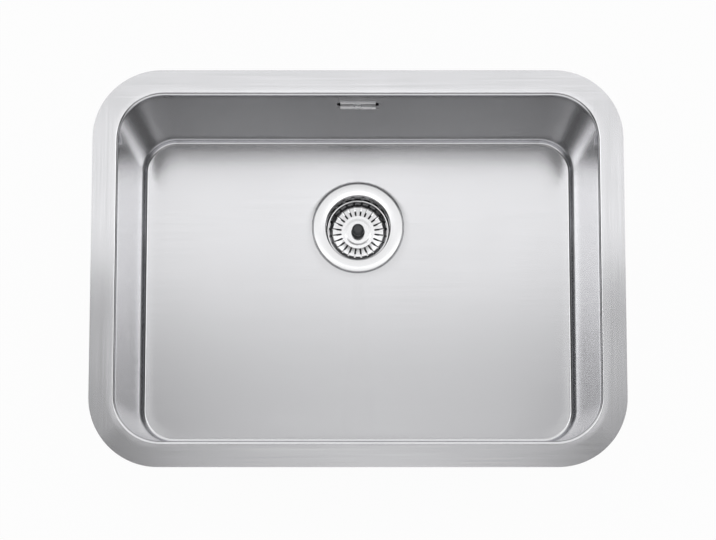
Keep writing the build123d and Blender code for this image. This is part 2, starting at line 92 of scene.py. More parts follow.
class GeometryTree:
    """A Geometry Nodes tree under construction, with named sizes as its inputs."""

    def __init__(self, name: str) -> None:
        """Start an empty tree.

        Args:
            name: Name of the node group.
        """
        self.group = bpy.data.node_groups.new(name, "GeometryNodeTree")
        for way in ("INPUT", "OUTPUT"):
            self.group.interface.new_socket("Geometry", in_out=way, socket_type="NodeSocketGeometry")
        self.entry = self.group.nodes.new("NodeGroupInput")
        self.exit = self.group.nodes.new("NodeGroupOutput")
        self.values: dict[str, float | int] = {}

    def size(self, name: str, value: float | int) -> Field:
        """Add a named input.

        Args:
            name: Name shown on the modifier.
            value: Value given to the modifier.

        Returns:
            The input as a field.
        """
        kind = "NodeSocketInt" if isinstance(value, int) else "NodeSocketFloat"
        item = self.group.interface.new_socket(name, in_out="INPUT", socket_type=kind)
        self.values[item.identifier] = value
        return Field(self, self.entry.outputs[name])

    def node(self, kind: str, inputs: dict[str | int, object] | None = None, **settings: object) -> bpy.types.Node:
        """Add a node.

        Args:
            kind: Node type.
            inputs: Values or fields for its inputs, by name or place.
            settings: Properties set on the node.

        Returns:
            The node.
        """
        node = self.group.nodes.new(kind)
        for key, value in settings.items():
            setattr(node, key, value)
        for key, value in (inputs or {}).items():
            self.feed(node.inputs[key], value)
        return node

    def feed(self, socket: Socket, value: object) -> None:
        """Link a field or a socket to an input, or set a plain value on it.

        Args:
            socket: The input.
            value: A field, a socket or a plain value.
        """
        source = value.socket if isinstance(value, Field) else value
        if isinstance(source, Socket):
            self.group.links.new(source, socket)
        else:
            socket.default_value = source

    def math(self, operation: str, *terms: Field | float, clamp: bool = False) -> Field:
        """Add a Math node.

        Args:
            operation: Name of the operation.
            terms: Its inputs in order.
            clamp: Whether the result is held between 0 and 1.

        Returns:
            Its result.
        """
        node = self.node("ShaderNodeMath", dict(enumerate(terms)), operation=operation, use_clamp=clamp)
        return Field(self, node.outputs[0])

    def ramp(self, along: Field, start: float, span: float) -> Field:
        """Rise from 0 to 1 over a stretch.

        Args:
            along: Where the point is.
            start: Where the stretch starts.
            span: How long it is.

        Returns:
            0 before the stretch, 1 after it, and the share between.
        """
        return self.math("DIVIDE", along - start, span, clamp=True)

    def grid(self, columns: int, rows: int) -> tuple[Socket, Field, Field]:
        """Add a flat grid to be bent into a surface.

        Args:
            columns: Faces along the first way.
            rows: Faces along the second way.

        Returns:
            The grid, and each point's share of the way along both sides.
        """
        sizes = {"Size X": 1.0, "Size Y": 1.0, "Vertices X": columns + 1, "Vertices Y": rows + 1}
        mesh = self.node("GeometryNodeMeshGrid", sizes).outputs["Mesh"]
        place = self.node("GeometryNodeInputPosition").outputs[0]
        parts = self.node("ShaderNodeSeparateXYZ", {0: place})
        return mesh, Field(self, parts.outputs[0]) + 0.5, Field(self, parts.outputs[1]) + 0.5

    def placed(self, mesh: Socket, x: Field, y: Field, z: Field) -> Socket:
        """Move every point of a mesh.

        Args:
            mesh: The mesh.
            x: New X of each point.
            y: New Y of each point.
            z: New Z of each point.

        Returns:
            The moved mesh with its seams closed.
        """
        place = self.node("ShaderNodeCombineXYZ", {0: x, 1: y, 2: z}).outputs[0]
        moved = self.node("GeometryNodeSetPosition", {"Geometry": mesh, "Position": place})
        merged = self.node("GeometryNodeMergeByDistance", {"Geometry": moved.outputs[0], "Distance": 0.01 * MM})
        return merged.outputs[0]

    def grown(
        self, geometry: Socket, material: bpy.types.Material, base: bpy.types.Mesh | None = None
    ) -> bpy.types.Mesh:
        """End the tree and run it once.

        Args:
            geometry: What the tree makes.
            material: Material of every face.
            base: Mesh that the tree starts from, if any.

        Returns:
            The result as a plain mesh.
        """
        realized = self.node("GeometryNodeRealizeInstances", {0: geometry}).outputs[0]
        dressed = self.node("GeometryNodeSetMaterial", {"Geometry": realized, "Material": material}).outputs[0]
        self.feed(self.exit.inputs[0], dressed)
        holder = bpy.data.objects.new(self.group.name, base or bpy.data.meshes.new(self.group.name))
        modifier = holder.modifiers.new("Shape", "NODES")
        modifier.node_group = self.group
        for identifier, value in self.values.items():
            modifier[identifier] = value
        return baked(holder)


# -------------------------------------------------------------- mesh helpers
def baked(holder: bpy.types.Object) -> bpy.types.Mesh:
    """Turn an object with modifiers into a plain mesh and remove the object.

    Args:
        holder: The object.

    Returns:
        Its evaluated mesh.
    """
    bpy.context.scene.collection.objects.link(holder)
    bpy.context.view_layer.update()
    evaluated = holder.evaluated_get(bpy.context.evaluated_depsgraph_get())
    mesh = bpy.data.meshes.new_from_object(evaluated)
    holder.modifiers.clear()
    bpy.data.objects.remove(holder)
    return mesh


def with_modifiers(mesh: bpy.types.Mesh, *modifiers: tuple[str, dict[str, object]]) -> bpy.types.Mesh:
    """Apply a stack of modifiers to a mesh.

    Args:
        mesh: The mesh.
        modifiers: Kind and settings of each modifier, in order.

    Returns:
        The finished mesh.
    """
    holder = bpy.data.objects.new("worked", mesh)
    for kind, settings in modifiers:
        modifier = holder.modifiers.new(kind.title(), kind)
        for key, value in settings.items():
            setattr(modifier, key, value)
    return baked(holder)


def sheeted(mesh: bpy.types.Mesh, sheet: float) -> bpy.types.Mesh:
    """Give an open sheet its thickness, away from its shown side.

    Args:
        mesh: The open sheet.
        sheet: Thickness in millimetres.

    Returns:
        The closed mesh.
    """
    return with_modifiers(mesh, ("SOLIDIFY", {"thickness": sheet * MM, "offset": -1.0, "use_even_offset": True}))


def made(name: str, work: bmesh.types.BMesh) -> bpy.types.Mesh:
    """Turn a working mesh into a kept one and free it.

    Args:
        name: Name of the result.
        work: The working mesh.

    Returns:
        The kept mesh.
    """
    mesh = bpy.data.meshes.new(name)
    work.to_mesh(mesh)
    work.free()
    return mesh


def joined(name: str, meshes: list[bpy.types.Mesh]) -> bpy.types.Mesh:
    """Put several meshes in one.

    Args:
        name: Name of the result.
        meshes: The meshes.

    Returns:
        One mesh that holds them all.
    """
    work = bmesh.new()
    for mesh in meshes:
        work.from_mesh(mesh)
    return made(name, work)


def combined(base: bpy.types.Mesh, tools: list[bpy.types.Mesh], operation: str) -> bpy.types.Mesh:
    """Cut or join closed meshes as solids.

    Args:
        base: The mesh that is worked.
        tools: The meshes that cut it or are added to it.
        operation: DIFFERENCE or UNION.

    Returns:
        The worked mesh.
    """
    for tool in tools:
        cutter = bpy.data.objects.new("tool", tool)
        bpy.context.scene.collection.objects.link(cutter)
        settings = {"operation": operation, "object": cutter, "solver": "EXACT"}
        base = with_modifiers(base, ("BOOLEAN", settings))
        bpy.data.objects.remove(cutter)
    return base


def facing(mesh: bpy.types.Mesh, inside: Vector | None = None) -> bpy.types.Mesh:
    """Merge a mesh's doubles and make its faces agree.

    Args:
        mesh: The mesh.
        inside: For an open sheet, a point that its faces look at.

    Returns:
        The same mesh.
    """
    work = bmesh.new()
    work.from_mesh(mesh)
    bmesh.ops.remove_doubles(work, verts=work.verts, dist=0.004 * MM)
    bmesh.ops.recalc_face_normals(work, faces=work.faces)
    if inside is not None:
        toward = sum(face.normal.dot(inside - face.calc_center_median()) * face.calc_area() for face in work.faces)
        if toward < 0:
            bmesh.ops.reverse_faces(work, faces=work.faces)
    work.to_mesh(mesh)
    work.free()
    return mesh


def smoothed(mesh: bpy.types.Mesh, crease: float = 32.0) -> bpy.types.Mesh:
    """Shade a mesh smooth except at its real edges.

    Args:
        mesh: The mesh.
        crease: Angle in degrees from which an edge stays sharp.

    Returns:
        The same mesh.
    """
    mesh.shade_smooth()
    mesh.set_sharp_from_angle(angle=math.radians(crease))
    return mesh


def rounded(corners: list[tuple[float, float, float]], steps: int = 6) -> list[Point]:
    """Round the corners of a line in a section plane.

    Args:
        corners: Radius, height and bend radius of each corner, in millimetres.
        steps: Faces in each bend.

    Returns:
        The points of the rounded line.
    """
    points: list[Point] = []
    for number, (x, y, bend) in enumerate(corners):
        if bend <= 0 or number in (0, len(corners) - 1):
            points.append((x, y))
            continue
        here = Vector((x, y))
        back = (Vector(corners[number - 1][:2]) - here).normalized()
        ahead = (Vector(corners[number + 1][:2]) - here).normalized()
        half = back.angle(ahead) / 2
        centre = here + (back + ahead).normalized() * (bend / math.sin(half))
        first = here + back * (bend / math.tan(half)) - centre
        turn = first.angle_signed(here + ahead * (bend / math.tan(half)) - centre)
        for step in range(steps + 1):
            angle = -turn * step / steps
            swung = Vector((
                first.x * math.cos(angle) - first.y * math.sin(angle),
                first.x * math.sin(angle) + first.y * math.cos(angle),
            ))
            points.append(tuple(centre + swung))
    return points


def raised(profile: Profile, foot: float, steps: int) -> list[Point]:
    """Stand a rounded profile on a level.

    Args:
        profile: Radius, rise over the foot and bend radius of each corner, in millimetres.
        foot: Level of the foot in millimetres.
        steps: Faces in each bend.

    Returns:
        The points of the rounded line.
    """
    return rounded([(radius, foot + rise, bend) for radius, rise, bend in profile], steps)


def thickened(line: list[Point], sheet: float) -> list[Point]:
    """Close a line into the section of a sheet.

    Args:
        line: Points of the sheet's shown side.
        sheet: Thickness to the right of the line, in millimetres.

    Returns:
        The closed section.
    """
    other: list[Point] = []
    for number, point in enumerate(line):
        before = Vector(line[max(number - 1, 0)])
        after = Vector(line[min(number + 1, len(line) - 1)])
        along = (after - before).normalized()
        other.append((point[0] + along.y * sheet, point[1] - along.x * sheet))
    return line + other[::-1]


def turned(section: list[Point], segments: int = 128, centre: Vector = WASTE) -> bpy.types.Mesh:
    """Turn a closed section round an upright axis.

    Args:
        section: Radius and height of each point, in millimetres.
        segments: Faces round the axis.
        centre: Where the axis stands.

    Returns:
        The closed mesh.
    """
    work = bmesh.new()
    rings = []
    for radius, height in section:
        ring = []
        for step in range(segments):
            angle = 2 * math.pi * step / segments
            place = Vector((math.cos(angle) * radius * MM, math.sin(angle) * radius * MM, height * MM))
            ring.append(work.verts.new(centre + place))
        rings.append(ring)
    for near, far in zip(rings, rings[1:] + rings[:1]):
        for step in range(segments):
            after = (step + 1) % segments
            work.faces.new((near[step], near[after], far[after], far[step]))
    bmesh.ops.remove_doubles(work, verts=work.verts, dist=0.002 * MM)
    bmesh.ops.recalc_face_normals(work, faces=work.faces)
    return made("turned", work)


def prism(outline: list[Point], place: Matrix, low: float, high: float) -> bpy.types.Mesh:
    """Stretch a flat outline between two levels.

    Args:
        outline: Points of the outline in millimetres.
        place: Where the outline's plane is.
        low: Level of the first end in millimetres.
        high: Level of the second end in millimetres.

    Returns:
        The closed mesh.
    """
    work = bmesh.new()
    ends = [
        [work.verts.new(place @ Vector((x * MM, y * MM, level * MM))) for x, y in outline]
        for level in (low, high)
    ]
    for end in ends:
        work.faces.new(end)
    for number in range(len(outline)):
        after = (number + 1) % len(outline)
        work.faces.new((ends[0][number], ends[0][after], ends[1][after], ends[1][number]))
    bmesh.ops.recalc_face_normals(work, faces=work.faces)
    return made("prism", work)


def slot_outline(length: float, width: float, corner: float, steps: int = 8) -> list[Point]:
    """Outline of a rectangle with round corners.

    Args:
        length: Size along X in millimetres.
        width: Size along Y in millimetres.
        corner: Corner radius in millimetres.
        steps: Faces in each corner.

    Returns:
        The points, counter-clockwise.
    """
    points: list[Point] = []
    for quarter, (sign_x, sign_y) in enumerate(((1, 1), (-1, 1), (-1, -1), (1, -1))):
        for step in range(steps + 1):
            angle = math.pi / 2 * (quarter + step / steps)
            points.append((
                sign_x * (length / 2 - corner) + corner * math.cos(angle),
                sign_y * (width / 2 - corner) + corner * math.sin(angle),
            ))
    return points


def show(name: str, mesh: bpy.types.Mesh, finish: "Finish", body: Body, *nodes: str) -> bpy.types.Object:
    """Add a finished piece to the part.

    Args:
        name: Name of the piece.
        mesh: Its mesh, in place.
        finish: Its finish.
        body: The body that it rides on.
        nodes: CAD nodes that it stands for.

    Returns:
        The piece.
    """
    mesh.name = name
    mesh.materials.clear()
    mesh.materials.append(finish.material)
    piece = bpy.data.objects.new(name, mesh)
    bpy.context.scene.collection.objects.link(piece)
    if nodes:
        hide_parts(*nodes)
    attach(piece, body.value)
    log.info("%s: %d faces", name, len(mesh.polygons))
    return piece


# ------------------------------------------------------------------ finishes
class ShaderTree:
    """The nodes of a material or of the world under construction."""

    def __init__(self, owner: bpy.types.Material | bpy.types.World) -> None:
        """Start on the default nodes.

        Args:
            owner: The material or the world.
        """
        owner.use_nodes = True
        self.owner = owner
        self.nodes = owner.node_tree.nodes
        self.links = owner.node_tree.links
        self.surface = self.nodes.get("Principled BSDF") or self.nodes["Background"]
        self.coordinates = self.nodes.new("ShaderNodeTexCoord")

    def add(self, kind: str, inputs: dict[str | int, object], **settings: object) -> bpy.types.Node:
        """Add a node and feed it.

        Args:
            kind: Node type.
            inputs: Values or sockets by name or place.
            settings: Properties of the node.

        Returns:
            The node.
        """
        node = self.nodes.new(kind)
        for key, value in settings.items():
            setattr(node, key, value)
        for key, value in inputs.items():
            self.feed(node.inputs[key], value)
        return node

    def feed(self, socket: Socket, value: object) -> None:
        """Link a socket or set a value.

        Args:
            socket: The input.
            value: A socket or a plain value.
        """
        if isinstance(value, Socket):
            self.links.new(value, socket)
        else:
            socket.default_value = value

    def noise(self, scale: tuple[float, float, float], detail: float, place: Socket | None = None) -> Socket:
        """Noise on the piece's own coordinates.

        Args:
            scale: Cycles per metre along each axis.
            detail: Levels of detail.
            place: Coordinates to use in place of the piece's own.

        Returns:
            The noise, about 0.5.
        """
        source = place or self.coordinates.outputs["Object"]
        mapped = self.add("ShaderNodeMapping", {"Vector": source, "Scale": scale})
        inputs = {"Vector": mapped.outputs[0], "Scale": 1.0, "Detail": detail, "Roughness": 0.55}
        return self.add("ShaderNodeTexNoise", inputs).outputs[0]

    def math(self, operation: str, *terms: Socket | float) -> Socket:
        """Work out a sum.

        Args:
            operation: Name of the operation.
            terms: Its inputs in order.

        Returns:
            The result.
        """
        return self.add("ShaderNodeMath", dict(enumerate(terms)), operation=operation).outputs[0]

    def product(self, *terms: Socket | float) -> Socket:
        """Multiply several values.

        Args:
            terms: The values.

        Returns:
            Their product.
        """
        result = terms[0]
        for term in terms[1:]:
            result = self.math("MULTIPLY", result, term)
        return result

    def parts(self, vector: Socket) -> bpy.types.bpy_prop_collection:
        """Split a vector into X, Y and Z."""
        return self.add("ShaderNodeSeparateXYZ", {0: vector}).outputs

    def rising(self, value: Socket, start: float, end: float) -> Socket:
        """Go from 0 at the start to 1 at the end."""
        return self.spread(value, 0.0, 1.0, start, end)

    def falling(self, value: Socket, start: float, end: float) -> Socket:
        """Go from 1 at the start to 0 at the end."""
        return self.spread(value, 1.0, 0.0, start, end)

    def spread(self, value: Socket, low: float, high: float, start: float = 0.3, end: float = 0.7) -> Socket:
        """Stretch a value between two limits.

        Args:
            value: The value.
            low: Result at the start.
            high: Result at the end.
            start: Value that gives the low limit.
            end: Value that gives the high limit.

        Returns:
            The stretched value.
        """
        inputs = {"Value": value, "From Min": start, "From Max": end, "To Min": low, "To Max": high}
        return self.add("ShaderNodeMapRange", inputs).outputs[0]

    def mix(self, share: Socket | float, first: object, second: object) -> Socket:
        """Mix two numbers.

        Args:
            share: Share of the second.
            first: First number.
            second: Second number.

        Returns:
            The mix.
        """
        return self.add("ShaderNodeMix", {0: share, 2: first, 3: second}).outputs[0]

    def tint(self, share: Socket, first: tuple[float, ...], second: tuple[float, ...]) -> Socket:
        """Mix two colours.

        Args:
            share: Share of the second.
            first: First colour.
            second: Second colour.

        Returns:
            The mix.
        """
        node = self.add("ShaderNodeMix", {0: share}, data_type="RGBA")
        node.inputs[6].default_value = (*first, 1.0)
        node.inputs[7].default_value = (*second, 1.0)
        return node.outputs[2]

    def bump(self, height: Socket, depth: float) -> None:
        """Give the surface a relief.

        Args:
            height: Height from 0 to 1.
            depth: Depth of the relief in metres.
        """
        node = self.add("ShaderNodeBump", {"Height": height, "Distance": depth, "Strength": 1.0})
        self.links.new(node.outputs[0], self.surface.inputs["Normal"])


class Grain(Enum):
    """Which way a steel piece is worked."""

    ALONG = "lines along the bowl"
    ROUND = "rings round the waste"
    PLAIN = "no lines"


def shade(colour: tuple[float, float, float], factor: float) -> tuple[float, float, float]:
    """Make a colour darker or lighter.

    Args:
        colour: The colour.
        factor: Multiplier.

    Returns:
        The changed colour.
    """
    return tuple(min(channel * factor, 1.0) for channel in colour)


class Finish:
    """A finish with its material and the record's slot that it belongs to."""

    slot: str
    material: bpy.types.Material


@dataclass(frozen=True)
class Metal(Finish):
    """Bare or plated metal with a fine worked grain."""

    name: str
    slot: str
    colour: tuple[float, float, float] = (0.74, 0.75, 0.755)
    roughness: float = 0.25
    uneven: float = 0.05
    grain: Grain = Grain.PLAIN
    lines: float = 2500.0
    relief: float = 0.0000012
    streaks: float = 420.0
    tone: float = 0.012
    brushed: float = 0.0
    level_rough: float = 0.0
    clouds: float = 14.0
    toned_heights: Span = (-0.006, -0.002)
    outside_tones: Span = (0.74, 0.80)
    outside_rough: float = 0.20

    def __post_init__(self) -> None:
        """Build the material once."""
        tree = ShaderTree(bpy.data.materials.new(self.name))
        line = self.line_pattern(tree, self.lines)
        streak = self.line_pattern(tree, self.streaks)
        cloud = tree.noise((self.clouds,) * 3, 2.0)
        lined = tree.spread(line, self.roughness - self.uneven, self.roughness + self.uneven)
        rough = tree.math("ADD", lined, tree.spread(cloud, -0.4 * self.uneven, 0.4 * self.uneven))
        worked = tree.mix(0.25, tree.mix(0.75, line, streak), cloud)
        share = tree.rising(worked, 0.38, 0.62)
        if self.grain is Grain.ALONG:
            height = tree.parts(tree.coordinates.outputs["Object"])["Z"]
            share = tree.mix(tree.spread(height, 0.2, 1.0, *self.toned_heights), 0.5, share)
        colour = tree.tint(share, shade(self.colour, 1 - self.tone), shade(self.colour, 1 + self.tone))
        if self.grain is Grain.ALONG:
            outside = self.outside(tree)
            duller = tree.tint(share, *(shade(self.colour, factor) for factor in self.outside_tones))
            skin = {0: outside, 6: colour, 7: duller}
            colour = tree.add("ShaderNodeMix", skin, data_type="RGBA").outputs[2]
            rough = tree.mix(outside, rough, tree.math("ADD", rough, self.outside_rough))
            rough = tree.math("ADD", rough, tree.product(self.zones(tree)[0], self.level_rough))
            tree.feed(tree.surface.inputs["Anisotropic"], self.brushed)
            tree.feed(tree.surface.inputs["Tangent"], self.across(tree))
        tree.feed(tree.surface.inputs["Base Color"], colour)
        tree.feed(tree.surface.inputs["Metallic"], 1.0)
        tree.feed(tree.surface.inputs["Roughness"], rough)
        tree.bump(line, self.relief)
        object.__setattr__(self, "material", tree.owner)

    def zones(self, tree: ShaderTree) -> tuple[Socket, Socket]:
        """Tell the bowl's zones apart.

        Args:
            tree: The material's nodes.

        Returns:
            How level the surface is, and whether it is one of the flange's short sides.
        """
        upright = tree.parts(tree.coordinates.outputs["Normal"])["Z"]
        level = tree.rising(tree.math("ABSOLUTE", upright), 0.35, 0.75)
        place = tree.parts(tree.coordinates.outputs["Object"])
        beside = tree.math("SUBTRACT", tree.math("ABSOLUTE", place["X"]), tree.math("ABSOLUTE", place["Y"]))
        side = tree.product(tree.rising(beside, 0.055, 0.105), tree.rising(place["Z"], -0.1, -0.05))
        return level, side

    def outside(self, tree: ShaderTree) -> Socket:
        """Find the duller skin that the drawn sheet keeps on its hidden side.

        Args:
            tree: The material's nodes.

        Returns:
            Share of the duller skin.
        """
        normal = tree.coordinates.outputs["Normal"]
        flat = {0: tree.coordinates.outputs["Object"], 1: (1.0, 1.0, 0.0)}
        place = tree.add("ShaderNodeVectorMath", flat, operation="MULTIPLY").outputs[0]
        away = tree.add("ShaderNodeVectorMath", {0: normal, 1: place}, operation="DOT_PRODUCT").outputs["Value"]
        down = tree.falling(tree.parts(normal)["Z"], -0.6, -0.3)
        return tree.math("MAXIMUM", tree.rising(away, 0.02, 0.05), down)

    def across(self, tree: ShaderTree) -> Socket:
        """Find the direction across the grain, in which brushed steel blurs what it mirrors.

        Args:
            tree: The material's nodes.

        Returns:
            The direction.
        """
        level, side = self.zones(tree)
        flat = tree.add("ShaderNodeMix", {0: side}, data_type="VECTOR")
        flat.inputs[4].default_value, flat.inputs[5].default_value = (0.0, 1.0, 0.0), (1.0, 0.0, 0.0)
        both = tree.add("ShaderNodeMix", {0: level, 5: flat.outputs[1]}, data_type="VECTOR")
        both.inputs[4].default_value = (0.0, 0.0, 1.0)
        return both.outputs[1]

    def line_pattern(self, tree: ShaderTree, lines: float) -> Socket:
        """Pattern of the grain.

        Args:
            tree: The material's nodes.
            lines: Lines in a metre.

        Returns:
            The pattern, about 0.5.
        """
        if self.grain is Grain.ALONG:
            level, side = self.zones(tree)
            drawn = 6.0
            flat = tree.noise((drawn, lines, drawn), 4.0)
            flank = tree.noise((lines, drawn, drawn), 4.0)
            upright = tree.noise((drawn, drawn, lines), 4.0)
            return tree.mix(level, upright, tree.mix(side, flat, flank))
        if self.grain is Grain.ROUND:
            centring = {"Vector": tree.coordinates.outputs["Object"], "Location": -WASTE}
            parts = tree.parts(tree.add("ShaderNodeMapping", centring).outputs[0])
            level = tree.add("ShaderNodeCombineXYZ", {0: parts[0], 1: parts[1]}).outputs[0]
            radius = tree.add("ShaderNodeVectorMath", {0: level}, operation="LENGTH").outputs["Value"]
            rings = tree.add("ShaderNodeCombineXYZ", {0: radius, 2: parts[2]}).outputs[0]
            return tree.noise((lines, 1.0, lines), 4.0, rings)
        return tree.noise((lines, lines, lines), 3.0)


@dataclass(frozen=True)
class Moulded(Finish):
    """Moulded plastic or rubber with a fine skin."""

    name: str
    slot: str
    colour: tuple[float, float, float]
    roughness: float = 0.45
    uneven: float = 0.08
    speckle: float = 0.06
    grit: float = 1800.0
    relief: float = 0.00002
    coat: float = 0.0
    clouds: float = 22.0

    def __post_init__(self) -> None:
        """Build the material once."""
        tree = ShaderTree(bpy.data.materials.new(self.name))
        skin = tree.noise((self.grit,) * 3, 4.0)
        cloud = tree.noise((self.clouds,) * 3, 3.0)
        rough = tree.spread(cloud, self.roughness - self.uneven, self.roughness + self.uneven)
        share = tree.spread(tree.mix(0.35, skin, cloud), 0.0, 1.0)
        colour = tree.tint(share, shade(self.colour, 1 - self.speckle), shade(self.colour, 1 + self.speckle))
        tree.feed(tree.surface.inputs["Roughness"], rough)
        tree.feed(tree.surface.inputs["Base Color"], colour)
        tree.feed(tree.surface.inputs["Coat Weight"], self.coat)
        tree.bump(skin, self.relief)
        object.__setattr__(self, "material", tree.owner)


# ---------------------------------------------------------------------- bowl
@dataclass
class Bowl:
    """The drawn bowl: flange, bent rim, drafted walls, falling floor and waste recess."""

    finish: Finish
    sheet: float = 1.0
    half_length: float = 271.0
    half_width: float = 196.0
    corner: float = 51.0
    flange_reach: float = 29.0
    flange_shift: float = 2.0
    rim_bend: float = 3.6
    floor_bend: float = 5.2
    depth: float = 200.0
    draft: float = 3.5
    fall: float = 0.009
    recess_radius: float = 55.6
    recess_depth: float = 2.4
    recess_bend: float = 0.6
    hole_radius: float = 45.0
    overflow_level: float = 37.0
    overflow_length: float = 48.4
    overflow_height: float = 13.0
    overflow_corner: float = 4.0
    overflow_cut: float = 3.0
    side_columns: int = 20
    corner_columns: int = 26
    stretches: tuple[int, ...] = (4, 12, 18, 14, 22, 4, 2, 4, 3)

    def wall_place(self) -> Matrix:
        """Find the rear wall at the overflow.

        Returns:
            Its frame, with X along the wall, Y up it and Z into the bowl.
        """
        draft = math.radians(self.draft)
        across = Vector((1.0, 0.0, 0.0))
        out = Vector((0.0, -math.cos(draft), math.sin(draft)))
        up = out.cross(across)
        wall_y = self.half_width - math.tan(draft) * self.overflow_level
        place = Matrix((across, up, out)).transposed().to_4x4()
        place.translation = Vector((0.0, wall_y, -self.overflow_level)) * MM
        return place

    def shell(self) -> bpy.types.Mesh:
        """Bend a grid into the bowl's shown side.

        Returns:
            The open sheet, with its faces towards the inside.
        """
        tree = GeometryTree("Drawn bowl")
        half_x = tree.size("Half opening length", self.half_length * MM)
        half_y = tree.size("Half opening width", self.half_width * MM)
        corner = tree.size("Opening corner radius", self.corner * MM)
        flange = tree.size("Flange reach", self.flange_reach * MM)
        flange_shift = tree.size("Flange corner shift", self.flange_shift * MM)
        rim = tree.size("Rim bend radius", self.rim_bend * MM)
        bend = tree.size("Floor bend radius", self.floor_bend * MM)
        depth = tree.size("Depth", self.depth * MM)
        draft = tree.size("Wall draft", math.radians(self.draft))
        fall = tree.size("Fall of the floor", self.fall)
        waste_y = tree.size("Waste centre", WASTE.y)
        recess = tree.size("Recess radius", self.recess_radius * MM)
        sink = tree.size("Recess depth", self.recess_depth * MM)
        edge = tree.size("Recess bend radius", self.recess_bend * MM)
        hole = tree.size("Hole radius", self.hole_radius * MM)

        columns = 4 * (self.side_columns + self.corner_columns)
        rows = sum(self.stretches)
        mesh, around, along = tree.grid(columns, rows)

        quarters = around * 4.0
        quarter = tree.math("FLOOR", quarters)
        part = quarters - quarter
        side_share = self.side_columns / (self.side_columns + self.corner_columns)
        swing = tree.ramp(part, side_share, 1 - side_share)
        travel = quarter + tree.ramp(part, 0.0, side_share)
        angle = (quarter + swing) * (math.pi / 2)
        away_x = tree.math("COSINE", angle)
        away_y = tree.math("SINE", angle)
        sign_x = self.side_sign(tree, travel - 0.5)
        sign_y = self.side_sign(tree, travel - 1.5)

        row = along * float(rows)
        starts = [sum(self.stretches[:number]) for number in range(len(self.stretches))]
        flat, rim_turn, wall, floor_turn, floor, lip, drop, foot, ring = (
            tree.ramp(row, float(start), float(span)) for start, span in zip(starts, self.stretches)
        )

        turn = math.pi / 2 - draft
        tangent = tree.math("TANGENT", turn * 0.5)
        rim_angle = rim_turn * turn
        floor_angle = (1.0 - floor_turn) * turn
        sine = tree.math("SINE", turn)
        cosine = tree.math("COSINE", turn)
        flange_flat = flange - rim * tangent
        wall_top = rim * (1.0 - cosine)
        wall_drop = depth - wall_top - bend * (1.0 - cosine)
        inset = (
            flange_flat * flat - flange
            + rim * tree.math("SINE", rim_angle)
            + wall_drop * tree.math("TANGENT", draft) * wall
            + bend * (sine - tree.math("SINE", floor_angle))
        )
        level = -(
            rim * (1.0 - tree.math("COSINE", rim_angle))
            + wall_drop * wall
            + bend * (tree.math("COSINE", floor_angle) - cosine)
        )
        shift = flange_shift * (1.0 - flat)
        reach = corner - inset - shift
        x = sign_x * (half_x - corner + shift) + away_x * reach
        y = sign_y * (half_y - corner + shift) + away_y * reach - waste_y

        spoke = tree.math("SQRT", x * x + y * y)
        inner = recess + edge
        length = (
            spoke + (inner - spoke) * floor
            - edge * tree.math("SINE", lip * (math.pi / 2))
            - edge * (1.0 - tree.math("COSINE", foot * (math.pi / 2)))
            - (recess - edge - hole) * ring
        )
        rise = fall * tree.math("MAXIMUM", length - recess, 0.0) * wall
        z = (
            level + rise
            - edge * (1.0 - tree.math("COSINE", lip * (math.pi / 2)))
            - (sink - edge * 2.0) * drop
            - edge * tree.math("SINE", foot * (math.pi / 2))
        )
        share = length / spoke
        surface = tree.placed(mesh, x * share, y * share + waste_y, z)
        return facing(tree.grown(surface, self.finish.material), Vector((0.0, 0.0, 0.3)))

    def side_sign(self, tree: GeometryTree, travel: Field) -> Field:
        """Sign of the corner that a point belongs to, sliding along the sides.

        Args:
            tree: The tree.
            travel: Quarters passed since the middle of the side where the sign is 1.

        Returns:
            A value from -1 to 1.
        """
        away = tree.math("ABSOLUTE", tree.math("WRAP", travel, 2.0, -2.0))
        held = tree.math("MAXIMUM", 2.0 - away * 2.0, -1.0)
        return tree.math("MINIMUM", held, 1.0)

    def build(self) -> None:
        """Make the bowl and show it."""
        sheet = sheeted(self.shell(), self.sheet)
        outline = slot_outline(self.overflow_length, self.overflow_height, self.overflow_corner)
        cutter = prism(outline, self.wall_place(), -self.overflow_cut, self.overflow_cut)
        sheet = combined(sheet, [cutter], "DIFFERENCE")
        show("sink_bowl", smoothed(sheet), self.finish, Body.SINK, "bowl")


